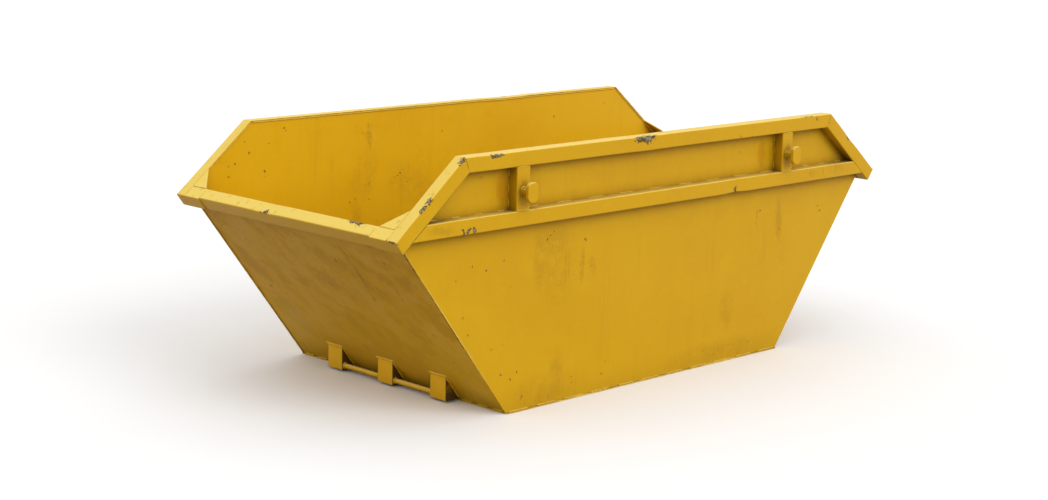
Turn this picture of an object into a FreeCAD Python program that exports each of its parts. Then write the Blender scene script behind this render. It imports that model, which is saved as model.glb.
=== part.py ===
import FreeCAD, Part
import os
import Sketcher

# Builders skip: a welded steel container for lift and tip lorries. Upright sides with cut-back top
# corners, sloping ends, pressed channel rails round the top, four lifting lugs and a tipping bar
# at the foot of each end. The frame is millimetres with Z up. X runs along the length, the front
# side is at -Y, and the origin is on the ground under the middle of the floor.

document = FreeCAD.newDocument("BuildersSkip")

# Driving sizes, in millimetres
DRIVING_SIZES = {
    # the skip over all
    "overall_length": 3340,
    "overall_height": 1200,
    "body_width": 1470,
    # how far each end leans out, and the cut-back of each top corner
    "end_run": 715,
    "rake_run": 389,
    "rake_drop": 324,
    # plates
    "floor_thickness": 5,
    "floor_lip": 9,
    "floor_corner_radius": 14,
    "end_thickness": 4,
    "side_thickness": 3,
    "side_edge_lip": 5,
    # pressed channel rails
    "rail_height": 70,
    "rail_depth": 55,
    "rail_thickness": 4,
    "rail_lip": 6,
    "bend_radius": 6,
    "mid_rail_drop": 13,
    # rim along each end
    "rim_overhang": 43,
    "rim_width": 67,
    "rim_height": 70,
    "rim_thickness": 4,
    "corner_reach": 122,
    "corner_thickness": 5,
    "corner_bend_share": 0.8,
    "gusset_rim_leg": 102,
    "gusset_rake_leg": 114,
    "gusset_thickness": 6,
    # lifting lugs
    "lug_inset": 351,
    "lug_rise_share": 0.4416,
    "post_width": 80,
    "pin_diameter": 36,
    "pin_clearance": 0.3,
    "stub_length": 44,
    "head_width": 62,
    "head_height": 92,
    "head_thickness": 18,
    "head_corner_radius": 27,
    "head_bevel": 3,
    # tipping gear at the foot of each end
    "bracket_spacing": 373,
    "bracket_width": 108,
    "bracket_top": 128,
    "bracket_ground_gap": 8,
    "bracket_thickness": 6,
    "bracket_bend_radius": 6,
    "tipping_bar_diameter": 25,
    "tipping_bar_height": 30,
    "tipping_bar_setback": 2,
    # how far a cutting outline runs past the piece that it cuts
    "cut_overrun": 20,
}

sheet = document.addObject("Spreadsheet::Sheet", "Sizes")
for row, (alias, millimetres) in enumerate(DRIVING_SIZES.items(), start=1):
    sheet.set(f"A{row}", alias)
    sheet.set(f"B{row}", str(millimetres))
    sheet.setAlias(f"B{row}", alias)
document.recompute()

# Slopes and places that follow from the driving sizes
derived = document.addObject("App::VarSet", "Derived")


def derive(name, expression):
    """Adds a worked-out value and returns how other expressions name it."""
    derived.addProperty("App::PropertyFloat", name)
    derived.setExpression(name, expression)
    document.recompute()
    return f"Derived.{name}"


side_outer = derive("side_outer", "Sizes.body_width / 2")
side_inner = derive("side_inner", f"{side_outer} - Sizes.side_thickness")
rail_face = derive("rail_face", f"{side_outer} + Sizes.rail_depth")
top_half = derive("top_half", "Sizes.overall_length / 2 - Sizes.rake_run")
floor_half = derive("floor_half", "Sizes.overall_length / 2 - Sizes.end_run")
rake_foot_height = derive("rake_foot_height", "Sizes.overall_height - Sizes.rake_drop")
rake_length = derive("rake_length", "hypot(Sizes.rake_run; Sizes.rake_drop)")
rake_angle = derive("rake_angle", "atan(Sizes.rake_drop / Sizes.rake_run)")
mitre_angle = derive("mitre_angle", f"{rake_angle} / 2")
end_reach = derive("end_reach", f"hypot(Sizes.end_run; {rake_foot_height})")
# lean of the end plate from upright, so that the rim's front stands off it by the overhang
end_lean = derive(
    "end_lean",
    f"atan(Sizes.end_run / {rake_foot_height}) - asin(Sizes.rim_overhang / {end_reach})",
)
skew = derive("skew", f"{rake_angle} - {end_lean}")
# distance up the end plate from the ground to the level of the rim's outer top edge
rim_top = derive("rim_top", f"Sizes.end_run * sin({end_lean}) + {rake_foot_height} * cos({end_lean})")
top_rail_bottom = derive("top_rail_bottom", "Sizes.overall_height - Sizes.rail_height")
mid_rail_bottom = derive("mid_rail_bottom", f"{rake_foot_height} - Sizes.mid_rail_drop")
mid_rail_top = derive("mid_rail_top", f"{mid_rail_bottom} + Sizes.rail_height")
lug_rise = derive("lug_rise", f"({top_rail_bottom} - {mid_rail_top}) * Sizes.lug_rise_share")
lug_height = derive("lug_height", f"{mid_rail_top} + {lug_rise}")
bracket_front = derive("bracket_front", f"{floor_half} + Sizes.bracket_top * tan({end_lean})")

FRONT, MIDDLE, BACK = "front", "middle", "back"
LEFT, RIGHT = "left", "right"
SIDES = (FRONT, BACK)
ENDS = (LEFT, RIGHT)


def number(expression):
    """The present value of an expression."""
    value = derived.evalExpression(expression)
    return float(getattr(value, "Value", value))


def new_body(name):
    """An empty body for one piece."""
    body = document.addObject("PartDesign::Body", name)
    body.Label = name
    return body


def new_sketch(body, plane, name):
    """A sketch on one of the body's own origin planes."""
    sketch = body.newObject("Sketcher::SketchObject", name)
    support = next(feature for feature in body.Origin.OriginFeatures if feature.Role == plane)
    sketch.AttachmentSupport = [(support, "")]
    sketch.MapMode = "FlatFace"
    return sketch


def pin_point(sketch, geometry, end, place):
    """Ties a point of the sketch to the origin by two distances that are expressions."""
    for kind, expression in zip(("DistanceX", "DistanceY"), place):
        value = number(expression)
        index = sketch.addConstraint(Sketcher.Constraint(kind, -1, 1, geometry, end, value))
        sketch.setExpression(f"Constraints[{index}]", expression)


def draw_outline(sketch, corners, rounds=None):
    """A closed outline of straight lines. Corners are pairs of expressions, and rounds gives the
    radius expression of each corner that is an arc."""
    rounds = rounds or {}
    points = [FreeCAD.Vector(number(x), number(y), 0) for x, y in corners]
    count = len(corners)
    radii = {index: number(radius) for index, radius in rounds.items()}

    def trimmed(index, towards):
        """The end of a line at a corner: the corner itself, or the tangent point of its arc."""
        if index not in radii:
            return points[index]
        before = (points[index - 1] - points[index]).normalize()
        after = (points[(index + 1) % count] - points[index]).normalize()
        tangent = radii[index] / number(f"tan({before.getAngle(after)} rad / 2)")
        return points[index] + (points[towards] - points[index]).normalize() * tangent

    lines = []
    for index in range(count):
        following = (index + 1) % count
        line = Part.LineSegment(trimmed(index, following), trimmed(following, index))
        lines.append(sketch.addGeometry(line, False))
    for index, corner in enumerate(corners):
        before, after = lines[index - 1], lines[index]
        if index not in radii:
            sketch.addConstraint(Sketcher.Constraint("Coincident", before, 2, after, 1))
            pin_point(sketch, after, 1, corner)
            continue
        start, finish = trimmed(index, index - 1), trimmed(index, (index + 1) % count)
        middle = (start + finish) * 0.5
        away = middle - points[index]
        half_chord = (finish - start).Length / 2
        centre = points[index] + away * (1 + (half_chord / away.Length) ** 2)
        crown = centre - away.normalize() * radii[index]
        arc = sketch.addGeometry(Part.Arc(start, crown, finish), False)
        from_start = [(sketch.getPoint(arc, end) - start).Length for end in (1, 2)]
        first = 1 if from_start[0] < from_start[1] else 2
        sketch.addConstraint(Sketcher.Constraint("Tangent", before, 2, arc, first))
        sketch.addConstraint(Sketcher.Constraint("Tangent", arc, 3 - first, after, 1))
        radius = sketch.addConstraint(Sketcher.Constraint("Radius", arc, radii[index]))
        sketch.setExpression(f"Constraints[{radius}]", rounds[index])
        peak = sketch.addGeometry(Part.Point(points[index]), True)
        sketch.addConstraint(Sketcher.Constraint("PointOnObject", peak, 1, before))
        sketch.addConstraint(Sketcher.Constraint("PointOnObject", peak, 1, after))
        pin_point(sketch, peak, 1, corner)


def draw_circle(sketch, centre, radius):
    """A circle whose centre and radius are expressions."""
    place = FreeCAD.Vector(number(centre[0]), number(centre[1]), 0)
    circle = sketch.addGeometry(Part.Circle(place, FreeCAD.Vector(0, 0, 1), number(radius)), False)
    pin_point(sketch, circle, 3, centre)
    index = sketch.addConstraint(Sketcher.Constraint("Radius", circle, number(radius)))
    sketch.setExpression(f"Constraints[{index}]", radius)


def add_pad(body, sketch, length, second=None, symmetric=False, backwards=False):
    """Gives the sketch a thickness along its normal, to one side, to both or about the middle."""
    pad = body.newObject("PartDesign::Pad", sketch.Name + "_pad")
    pad.Profile = sketch
    pad.setExpression("Length", length)
    pad.Reversed = backwards
    if symmetric:
        pad.SideType = "Symmetric"
    if second:
        pad.SideType = "Two sides"
        pad.setExpression("Length2", second)
    sketch.Visibility = False
    document.recompute()
    return pad


def add_cut(body, sketch, symmetric=True, backwards=False):
    """Cuts the sketch's outline right through the body, and makes sure that it took metal away."""
    before = body.Shape.Volume
    cut = body.newObject("PartDesign::Pocket", sketch.Name + "_cut")
    cut.Profile = sketch
    cut.Type = "ThroughAll"
    cut.Reversed = backwards
    if symmetric:
        cut.SideType = "Symmetric"
    document.recompute()
    if not body.Shape.Volume < before:
        raise RuntimeError(f"{cut.Name} removed nothing")
    return cut


def finish_edges(body, base, kind, size, chosen):
    """Rounds (Fillet) or bevels (Chamfer) the edges of a feature whose middle points are chosen."""
    names = []
    for index, edge in enumerate(base.Shape.Edges, start=1):
        middle = edge.valueAt((edge.FirstParameter + edge.LastParameter) / 2)
        if chosen(middle):
            names.append(f"Edge{index}")
    finish = body.newObject(f"PartDesign::{kind}", f"{base.Name}_{kind}")
    finish.Base = (base, names)
    finish.setExpression("Radius" if kind == "Fillet" else "Size", size)
    body.Tip = finish
    document.recompute()
    return finish


def place(body, x="0", y="0", z="0", turned=False, pitch=None):
    """Puts a body at its place, turned half round for the opposite side and pitched about Y."""
    turn = "rotation(vector(0; 0; 1); 180)" if turned else "rotation(vector(0; 0; 1); 0)"
    if pitch:
        turn = f"{turn} * rotation(vector(0; 1; 0); {pitch})"
    body.setExpression("Placement", f"placement(vector({x}; {y}; {z}); {turn})")


# Floor plate: flat, with rounded corners, standing out a little below the sides and ends
def make_floor_plate():
    body = new_body("floor_plate")
    long_half = f"{floor_half} + Sizes.floor_thickness * tan({end_lean}) + Sizes.floor_lip"
    wide_half = f"{side_outer} + Sizes.floor_lip"
    corners = []
    for x_sign, y_sign in (("-", "-"), ("", "-"), ("", ""), ("-", "")):
        corners.append((f"{x_sign}({long_half})", f"{y_sign}({wide_half})"))
    sketch = new_sketch(body, "XY_Plane", "floor_outline")
    draw_outline(sketch, corners, dict.fromkeys(range(len(corners)), "Sizes.floor_corner_radius"))
    add_pad(body, sketch, "Sizes.floor_thickness")
    return body


def on_end(out, up):
    """World x and z of a point of the right end: out from the plate's outer face, up along it."""
    x = f"{floor_half} + ({out}) * cos({end_lean}) + ({up}) * sin({end_lean})"
    z = f"({up}) * cos({end_lean}) - ({out}) * sin({end_lean})"
    return x, z


def rim_level(out, drop="0"):
    """Distance up the end plate of a line that runs a drop below the sloped top faces."""
    return f"{rim_top} + (Sizes.rim_overhang - ({out})) * tan({skew}) - ({drop})"


flange_drop = f"Sizes.rail_thickness / cos({skew})"


# End plates: flat sheets between the sides, from the floor up to the underside of the rim
def make_end_plate(end):
    body = new_body(f"end_plate_{end}")
    corners = []
    for out in ("0", "-Sizes.end_thickness"):
        foot = f"(Sizes.floor_thickness + ({out}) * sin({end_lean})) / cos({end_lean})"
        head = rim_level(out, "Sizes.rim_height")
        ordered = (foot, head) if out == "0" else (head, foot)
        corners += [(out, level) for level in ordered]
    sketch = new_sketch(body, "XZ_Plane", f"end_section_{end}")
    draw_outline(sketch, corners)
    add_pad(body, sketch, f"{side_inner} * 2", symmetric=True)
    place_on_end(body, end)
    return body


def place_on_end(body, end, y="0"):
    """Puts a body drawn in the end plate's own frame on the left or the right end."""
    x = floor_half if end == RIGHT else f"-{floor_half}"
    place(body, x, y, turned=end == LEFT, pitch=end_lean)


# Side plates: upright sheets that stand on the floor, cut back at the top corners, with an ear at
# each end that reaches behind the raked rail to the folded corner
def make_side_plate(side):
    body = new_body(f"side_plate_{side}")
    lip = "Sizes.side_edge_lip"
    ear = "Sizes.rim_overhang - Sizes.corner_thickness"
    foot = f"(Sizes.floor_thickness + ({lip}) * sin({end_lean})) / cos({end_lean})"
    mitre_step = f"Sizes.rail_thickness * tan({mitre_angle})"
    right_half = [
        on_end(lip, foot),
        on_end(lip, rim_level(lip, "Sizes.rim_height")),
        on_end(ear, rim_level(ear, "Sizes.rim_height")),
        on_end(ear, rim_level(ear, flange_drop)),
        (f"{top_half} - {mitre_step}", "Sizes.overall_height - Sizes.rail_thickness"),
    ]
    left_half = [(f"-({x})", z) for x, z in reversed(right_half)]
    sketch = new_sketch(body, "XZ_Plane", f"side_outline_{side}")
    draw_outline(sketch, right_half + left_half)
    add_pad(body, sketch, "Sizes.side_thickness")
    place(body, y=f"-{side_inner}" if side == FRONT else side_outer)
    return body


def draw_channel(sketch, y_sign, low, high, top_inner):
    """A pressed channel section in the YZ plane, its web outside, its flanges reaching the side
    plate. The top flange ends at its own distance from the middle of the skip."""
    wall = "Sizes.rail_thickness"
    inside_radius = f"Sizes.bend_radius - {wall}"
    corners = [
        (rail_face, low),
        (rail_face, high),
        (top_inner, high),
        (top_inner, f"{high} - {wall}"),
        (f"{rail_face} - {wall}", f"{high} - {wall}"),
        (f"{rail_face} - {wall}", f"{low} + {wall}"),
        (side_outer, f"{low} + {wall}"),
        (side_outer, low),
    ]
    rounds = {0: "Sizes.bend_radius", 1: "Sizes.bend_radius", 4: inside_radius, 5: inside_radius}
    draw_outline(sketch, [(f"{y_sign}({y})", z) for y, z in corners], rounds)


lip_edge = derive("lip_edge", f"{side_inner} - Sizes.rail_lip")


# Top rails: channels with a lip over the side plate's top edge, mitred to the raked rails
def make_top_rail(side):
    body = new_body(f"top_rail_{side}")
    section = new_sketch(body, "YZ_Plane", f"top_rail_section_{side}")
    draw_channel(section, "-" if side == FRONT else "", top_rail_bottom, "Sizes.overall_height", lip_edge)
    add_pad(body, section, f"{top_half} * 2", symmetric=True)
    above = "Sizes.overall_height + Sizes.cut_overrun"
    below = f"{top_rail_bottom} - Sizes.cut_overrun"
    outside = f"{top_half} + Sizes.cut_overrun * tan({mitre_angle})"
    inside = f"{top_half} - (Sizes.rail_height + Sizes.cut_overrun) * tan({mitre_angle})"
    corners = ((outside, above), (outside, below), (inside, below))
    mitre = new_sketch(body, "XZ_Plane", f"top_rail_mitre_{side}")
    for sign in ("", "-"):
        draw_outline(mitre, [(f"{sign}({x})", z) for x, z in corners])
    add_cut(body, mitre)
    return body


# Raked rails: the same channel down the cut-back corner. The section is drawn level at the rail's
# foot, runs back up the rake, and is then mitred at the top and cut along the rim's front at the foot
def make_rake_rail(side, end):
    name = f"rake_rail_{side}_{end}"
    body = new_body(name)
    y_sign = "-" if (side == FRONT) == (end == RIGHT) else ""
    section = new_sketch(body, "YZ_Plane", f"{name}_section")
    draw_channel(section, y_sign, "-Sizes.rail_height", "0", lip_edge)
    add_pad(body, section, "Sizes.cut_overrun", second=rake_length)
    above = "Sizes.cut_overrun"
    below = "-Sizes.rail_height - Sizes.cut_overrun"
    cuts = new_sketch(body, "XZ_Plane", f"{name}_ends")
    mitre_above = f"-{rake_length} - Sizes.cut_overrun * tan({mitre_angle})"
    mitre_below = f"-{rake_length} - ({below}) * tan({mitre_angle})"
    draw_outline(cuts, [(mitre_above, above), (mitre_below, below), (mitre_above, below)])
    behind = f"Sizes.corner_thickness / cos({skew})"
    foot_above = f"-({behind}) - ({above}) * tan({skew})"
    foot_below = f"-({behind}) - ({below}) * tan({skew})"
    beyond = "Sizes.cut_overrun + Sizes.cut_overrun"
    draw_outline(cuts, [(foot_above, above), (beyond, above), (beyond, below), (foot_below, below)])
    add_cut(body, cuts)
    place_on_rake(body, end)
    return body


def place_on_rake(body, end):
    """Puts a body drawn about the foot of the rake, with X down the rake, on the left or right end."""
    x = "Sizes.overall_length / 2" if end == RIGHT else "-Sizes.overall_length / 2"
    place(body, x, z=rake_foot_height, turned=end == LEFT, pitch=rake_angle)


# Mid rails: channels across the side below the lugs, cut to butt under the raked rails
def make_mid_rail(side):
    body = new_body(f"mid_rail_{side}")
    section = new_sketch(body, "YZ_Plane", f"mid_rail_section_{side}")
    draw_channel(section, "-" if side == FRONT else "", mid_rail_bottom, mid_rail_top, side_outer)

    def under_rake(z):
        """World x of the underside of the raked rail at a height."""
        start = f"{top_half} - Sizes.rail_height * tan({mitre_angle})"
        return f"{start} + ({top_rail_bottom} - ({z})) / tan({rake_angle})"

    add_pad(body, section, f"2 * ({under_rake(mid_rail_bottom)})", symmetric=True)
    above = f"{mid_rail_top} + Sizes.cut_overrun"
    below = f"{mid_rail_bottom} - Sizes.cut_overrun"
    corners = ((under_rake(above), above), (under_rake(below), below), (under_rake(below), above))
    ends = new_sketch(body, "XZ_Plane", f"mid_rail_ends_{side}")
    for sign in ("", "-"):
        draw_outline(ends, [(f"{sign}({x})", z) for x, z in corners])
    add_cut(body, ends)
    return body


def draw_rim_section(sketch, front, wall, radius):
    """A hollow section in the end plate's frame: its front and back follow the end plate, its top
    lies in the plane of the raked rails' top faces, and its bottom is parallel to that."""
    back = f"Sizes.rim_overhang - Sizes.rim_width * cos({skew})"
    level_wall = f"{wall} / cos({skew})"
    outer = [
        (front, rim_level(front, "Sizes.rim_height")),
        (front, rim_level(front)),
        (back, rim_level(back)),
        (back, rim_level(back, "Sizes.rim_height")),
    ]
    front_inside = f"{front} - {wall}"
    back_inside = f"{back} + {wall}"
    inner = [
        (front_inside, rim_level(front_inside, f"Sizes.rim_height - {level_wall}")),
        (front_inside, rim_level(front_inside, level_wall)),
        (back_inside, rim_level(back_inside, level_wall)),
        (back_inside, rim_level(back_inside, f"Sizes.rim_height - {level_wall}")),
    ]
    draw_outline(sketch, outer, dict.fromkeys(range(len(outer)), radius))
    draw_outline(sketch, inner)


seam = derive("seam", f"{side_outer} - Sizes.corner_reach")
# the folded corner's outer bend, which fits inside its plate's thickness at any slope
corner_bend = derive(
    "corner_bend",
    f"Sizes.corner_bend_share * Sizes.corner_thickness / (1 + abs(sin({skew})))",
)


# End rims: box section along the top of each end, between the folded corners
def make_end_rim(end):
    body = new_body(f"end_rim_{end}")
    section = new_sketch(body, "XZ_Plane", f"end_rim_section_{end}")
    front = "Sizes.rim_overhang - Sizes.corner_thickness"
    draw_rim_section(section, front, "Sizes.rim_thickness", "Sizes.bend_radius")
    add_pad(body, section, f"{seam} * 2", symmetric=True)
    place_on_end(body, end)
    return body


# Folded corners: a sleeve that carries the rim on to the raked rail's lip, a plate's thickness proud
# at the front, and a front plate that runs on over the side plate's ear to close the raked rail's foot
def make_rim_corner(side, end):
    name = f"rim_corner_{side}_{end}"
    body = new_body(name)
    inwards = (side == FRONT) == (end == RIGHT)
    sleeve = new_sketch(body, "XZ_Plane", f"{name}_sleeve")
    front = "Sizes.rim_overhang"
    draw_rim_section(sleeve, front, "Sizes.corner_thickness", corner_bend)
    add_pad(body, sleeve, f"{lip_edge} - {seam}", backwards=inwards)
    back = f"{front} - Sizes.corner_thickness"
    strip = [
        (front, rim_level(front, "Sizes.rim_height")),
        (front, rim_level(front)),
        (back, rim_level(back)),
        (back, rim_level(back, "Sizes.rim_height")),
    ]
    plate = new_sketch(body, "XZ_Plane", f"{name}_front_plate")
    draw_outline(plate, strip, {0: corner_bend, 1: corner_bend})
    add_pad(body, plate, f"{rail_face} - {lip_edge}", backwards=not inwards)
    place_on_end(body, end, lip_edge if side == BACK else f"-{lip_edge}")
    return body


# Corner gussets: triangular plates flush with the sloped top faces, between the rim's inner edge
# and the lip of the raked rail
def make_corner_gusset(side, end):
    name = f"corner_gusset_{side}_{end}"
    body = new_body(name)
    y_sign = "-" if (side == FRONT) == (end == RIGHT) else ""
    rim_edge = "-Sizes.rim_width"
    corners = [
        (rim_edge, f"{y_sign}({lip_edge})"),
        (f"{rim_edge} - Sizes.gusset_rake_leg", f"{y_sign}({lip_edge})"),
        (rim_edge, f"{y_sign}({lip_edge} - Sizes.gusset_rim_leg)"),
    ]
    sketch = new_sketch(body, "XY_Plane", f"{name}_outline")
    draw_outline(sketch, corners)
    add_pad(body, sketch, "Sizes.gusset_thickness", backwards=True)
    place_on_rake(body, end)
    return body


def lug_x(end):
    """World x of the lugs at one end."""
    return f"{top_half} - Sizes.lug_inset" if end == RIGHT else f"Sizes.lug_inset - {top_half}"


def place_on_side(body, side, end, z):
    """Puts a body drawn about the front side plate's outer face on either side."""
    place(body, lug_x(end), f"-{side_outer}" if side == FRONT else side_outer, z, turned=side == BACK)


# Lug posts: upright channels between mid rail and top rail, bored for the lifting stub
def make_lug_post(side, end):
    name = f"lug_post_{side}_{end}"
    body = new_body(name)
    wall = "Sizes.rail_thickness"
    half = "Sizes.post_width / 2"
    face = "-Sizes.rail_depth"
    inside_radius = f"Sizes.bend_radius - {wall}"
    corners = [
        (f"-{half}", "0"),
        (f"-{half}", face),
        (half, face),
        (half, "0"),
        (f"{half} - {wall}", "0"),
        (f"{half} - {wall}", f"{face} + {wall}"),
        (f"-{half} + {wall}", f"{face} + {wall}"),
        (f"-{half} + {wall}", "0"),
    ]
    rounds = {1: "Sizes.bend_radius", 2: "Sizes.bend_radius", 5: inside_radius, 6: inside_radius}
    section = new_sketch(body, "XY_Plane", f"{name}_section")
    draw_outline(section, corners, rounds)
    add_pad(body, section, f"{top_rail_bottom} - {mid_rail_top}")
    bore = new_sketch(body, "XZ_Plane", f"{name}_bore")
    bore_radius = "Sizes.pin_diameter / 2 + Sizes.pin_clearance"
    draw_circle(bore, ("0", lug_rise), bore_radius)
    add_cut(body, bore)
    place_on_side(body, side, end, mid_rail_top)
    return body


# Lifting stubs: round bars from the side plate out through the post
def make_lug_pin(side, end):
    name = f"lug_pin_{side}_{end}"
    body = new_body(name)
    section = new_sketch(body, "XZ_Plane", f"{name}_section")
    draw_circle(section, ("0", "0"), "Sizes.pin_diameter / 2")
    add_pad(body, section, "Sizes.rail_depth + Sizes.stub_length")
    place_on_side(body, side, end, lug_height)
    return body


# Keeper plates: rounded heads that stop the lifting chain slipping off the stubs
def make_lug_head(side, end):
    name = f"lug_head_{side}_{end}"
    body = new_body(name)
    wide = "Sizes.head_width / 2"
    tall = "Sizes.head_height / 2"
    corners = [(f"-{wide}", f"-{tall}"), (wide, f"-{tall}"), (wide, tall), (f"-{wide}", tall)]
    outline = new_sketch(body, "XZ_Plane", f"{name}_outline")
    draw_outline(outline, corners, dict.fromkeys(range(len(corners)), "Sizes.head_corner_radius"))
    plate = add_pad(body, outline, "Sizes.head_thickness")
    bevel_depth = number("Sizes.head_bevel - Sizes.head_thickness")
    finish_edges(body, plate, "Chamfer", "Sizes.head_bevel", lambda point: point.y < bevel_depth)
    y = f"{rail_face} + Sizes.stub_length"
    place(body, lug_x(end), f"-({y})" if side == FRONT else y, lug_height, turned=side == BACK)
    return body


bar_x = derive(
    "bar_x",
    f"{bracket_front} - Sizes.bracket_thickness - Sizes.tipping_bar_setback - Sizes.tipping_bar_diameter / 2",
)
bracket_half = "Sizes.bracket_width / 2"
web_inner = derive("web_inner", f"{bracket_half} - Sizes.bracket_thickness")


# Tipping brackets: folded straps that stand off the foot of the end plate. The two webs are cut to
# the slope of the plate. The bar passes through both webs of the middle bracket, and through the web
# of each outer bracket that faces the middle
def make_tipping_bracket(end, place_name, y, facing):
    name = f"tipping_bracket_{end}_{place_name}"
    body = new_body(name)
    foot = "Sizes.bracket_ground_gap"
    foot_back = f"{floor_half} + {foot} * tan({end_lean})"
    side_view = new_sketch(body, "XZ_Plane", f"{name}_side_view")
    draw_outline(side_view, [(foot_back, foot), (bracket_front, foot), (bracket_front, "Sizes.bracket_top")])
    wedge = add_pad(body, side_view, "Sizes.bracket_width", symmetric=True)
    hollow_front = f"{bracket_front} - Sizes.bracket_thickness"
    low, high = number(foot), number("Sizes.bracket_top")

    def is_bend(point):
        """The two upright edges of the strap."""
        return point.x > number(hollow_front) and low < point.z < high

    finish_edges(body, wedge, "Fillet", "Sizes.bracket_bend_radius", is_bend)
    hollow_back = f"{foot_back} - Sizes.cut_overrun"
    corners = [
        (hollow_back, f"-{web_inner}"),
        (hollow_front, f"-{web_inner}"),
        (hollow_front, web_inner),
        (hollow_back, web_inner),
    ]
    hollow = new_sketch(body, "XY_Plane", f"{name}_hollow")
    draw_outline(hollow, corners)
    add_cut(body, hollow)
    bore = new_sketch(body, "XZ_Plane", f"{name}_bore")
    bore_radius = "Sizes.tipping_bar_diameter / 2 + Sizes.pin_clearance"
    draw_circle(bore, (bar_x, "Sizes.tipping_bar_height"), bore_radius)
    backwards = (facing == FRONT) == (end == RIGHT)
    add_cut(body, bore, symmetric=facing == MIDDLE, backwards=backwards)
    place(body, y=y, turned=end == LEFT)
    return body


# Tipping bars: round bars through the brackets, their ends stopped inside the outermost webs
def make_tipping_bar(end):
    body = new_body(f"tipping_bar_{end}")
    section = new_sketch(body, "XZ_Plane", f"tipping_bar_section_{end}")
    draw_circle(section, (bar_x, "Sizes.tipping_bar_height"), "Sizes.tipping_bar_diameter / 2")
    add_pad(body, section, f"2 * (Sizes.bracket_spacing + {web_inner})", symmetric=True)
    place(body, turned=end == LEFT)
    return body


pieces = [make_floor_plate()]
for end in ENDS:
    pieces.append(make_end_plate(end))
    pieces.append(make_end_rim(end))
    pieces.append(make_tipping_bar(end))
    pieces.append(make_tipping_bracket(end, FRONT, "-Sizes.bracket_spacing", facing=BACK))
    pieces.append(make_tipping_bracket(end, MIDDLE, "0", facing=MIDDLE))
    pieces.append(make_tipping_bracket(end, BACK, "Sizes.bracket_spacing", facing=FRONT))
for side in SIDES:
    pieces.append(make_side_plate(side))
    pieces.append(make_top_rail(side))
    pieces.append(make_mid_rail(side))
    for end in ENDS:
        pieces.append(make_rake_rail(side, end))
        pieces.append(make_rim_corner(side, end))
        pieces.append(make_corner_gusset(side, end))
        pieces.append(make_lug_post(side, end))
        pieces.append(make_lug_pin(side, end))
        pieces.append(make_lug_head(side, end))
document.recompute()

for item in document.Objects:
    if "Invalid" in item.State or "Error" in item.State:
        raise RuntimeError(f"{item.Name} failed: {item.State}")
for piece in pieces:
    if piece.Shape.isNull() or not piece.Shape.isValid() or len(piece.Shape.Solids) != 1:
        raise RuntimeError(f"{piece.Name} is not one sound solid")

os.makedirs("parts", exist_ok=True)
for piece in pieces:
    piece.Shape.exportStep(f"parts/{piece.Label}.step")
print(len(pieces), "pieces written")
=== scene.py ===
import math

import bmesh
import bpy
from mathutils import Matrix, Vector, noise


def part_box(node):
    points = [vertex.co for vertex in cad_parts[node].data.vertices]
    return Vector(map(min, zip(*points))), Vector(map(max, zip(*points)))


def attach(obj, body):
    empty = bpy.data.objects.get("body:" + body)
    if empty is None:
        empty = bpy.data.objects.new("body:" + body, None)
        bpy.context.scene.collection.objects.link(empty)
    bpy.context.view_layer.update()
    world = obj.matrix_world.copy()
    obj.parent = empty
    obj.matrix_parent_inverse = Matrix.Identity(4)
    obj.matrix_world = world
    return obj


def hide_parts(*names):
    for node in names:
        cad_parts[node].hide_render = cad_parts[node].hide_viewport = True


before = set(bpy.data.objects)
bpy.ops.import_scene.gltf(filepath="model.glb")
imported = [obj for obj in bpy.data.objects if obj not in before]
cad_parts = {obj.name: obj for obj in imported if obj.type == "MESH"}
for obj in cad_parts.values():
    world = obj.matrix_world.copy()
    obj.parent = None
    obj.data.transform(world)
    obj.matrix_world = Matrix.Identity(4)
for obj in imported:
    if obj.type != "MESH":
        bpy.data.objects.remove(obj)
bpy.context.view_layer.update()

# The camera stands off the front left corner, a little above the rim, and looks slightly down along
# the skip, as in the photograph. Its place and lens are in the row frame, in metres and millimetres.
CAMERA_PLACE = Vector((-6.9217, -6.8800, 2.4174))
CAMERA_YAW = 0.7779
CAMERA_PITCH = -0.1920
CAMERA_ROLL = 0.0187
LENS = 67.67
SENSOR_WIDTH = 36.0
forward = Vector((
    math.sin(CAMERA_YAW) * math.cos(CAMERA_PITCH),
    math.cos(CAMERA_YAW) * math.cos(CAMERA_PITCH),
    math.sin(CAMERA_PITCH),
))
level_right = Vector((math.cos(CAMERA_YAW), -math.sin(CAMERA_YAW), 0))
rolled = Matrix.Rotation(-CAMERA_ROLL, 3, forward)
camera_right = rolled @ level_right
camera_up = rolled @ level_right.cross(forward)
lens = bpy.data.cameras.new("camera")
lens.lens = LENS
lens.sensor_width = SENSOR_WIDTH
camera = bpy.data.objects.new("camera", lens)
camera.matrix_world = Matrix((camera_right, camera_up, -forward)).transposed().to_4x4()
camera.location = CAMERA_PLACE
bpy.context.scene.collection.objects.link(camera)
bpy.context.scene.camera = camera

# The floor plate is flat steel sheet, cut with round corners, and stands a little beyond the sides.
# It carries the same golden yellow enamel as the rest. The enamel is built up here in layers: paint,
# chalk and dust, runs of dirt, painted shade in the corners, rust specks, pale edges that are partly
# painted highlights, and chips down to grey primer with rusty borders.
YELLOW = (0.655, 0.364, 0.002)
DEEP_YELLOW = (0.615, 0.318, 0.001)
PALE_YELLOW = (0.690, 0.410, 0.008)
# pale chalky yellow, also used for painted highlights along the edges
CHALK_AND_HIGHLIGHT_YELLOW = (0.860, 0.635, 0.130)
# paler copies of the yellow for the inside of the body and for faces turned up: painted light that makes up for the
# shade inside the body
INSIDE_YELLOW_LIGHTENED = (0.700, 0.405, 0.004)
DEEP_INSIDE_LIGHTENED = (0.640, 0.330, 0.002)
ORANGE_YELLOW = (0.560, 0.250, 0.002)
PALE_SMEAR = (0.780, 0.470, 0.070)
DARK_SMEAR = (0.400, 0.205, 0.003)
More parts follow.
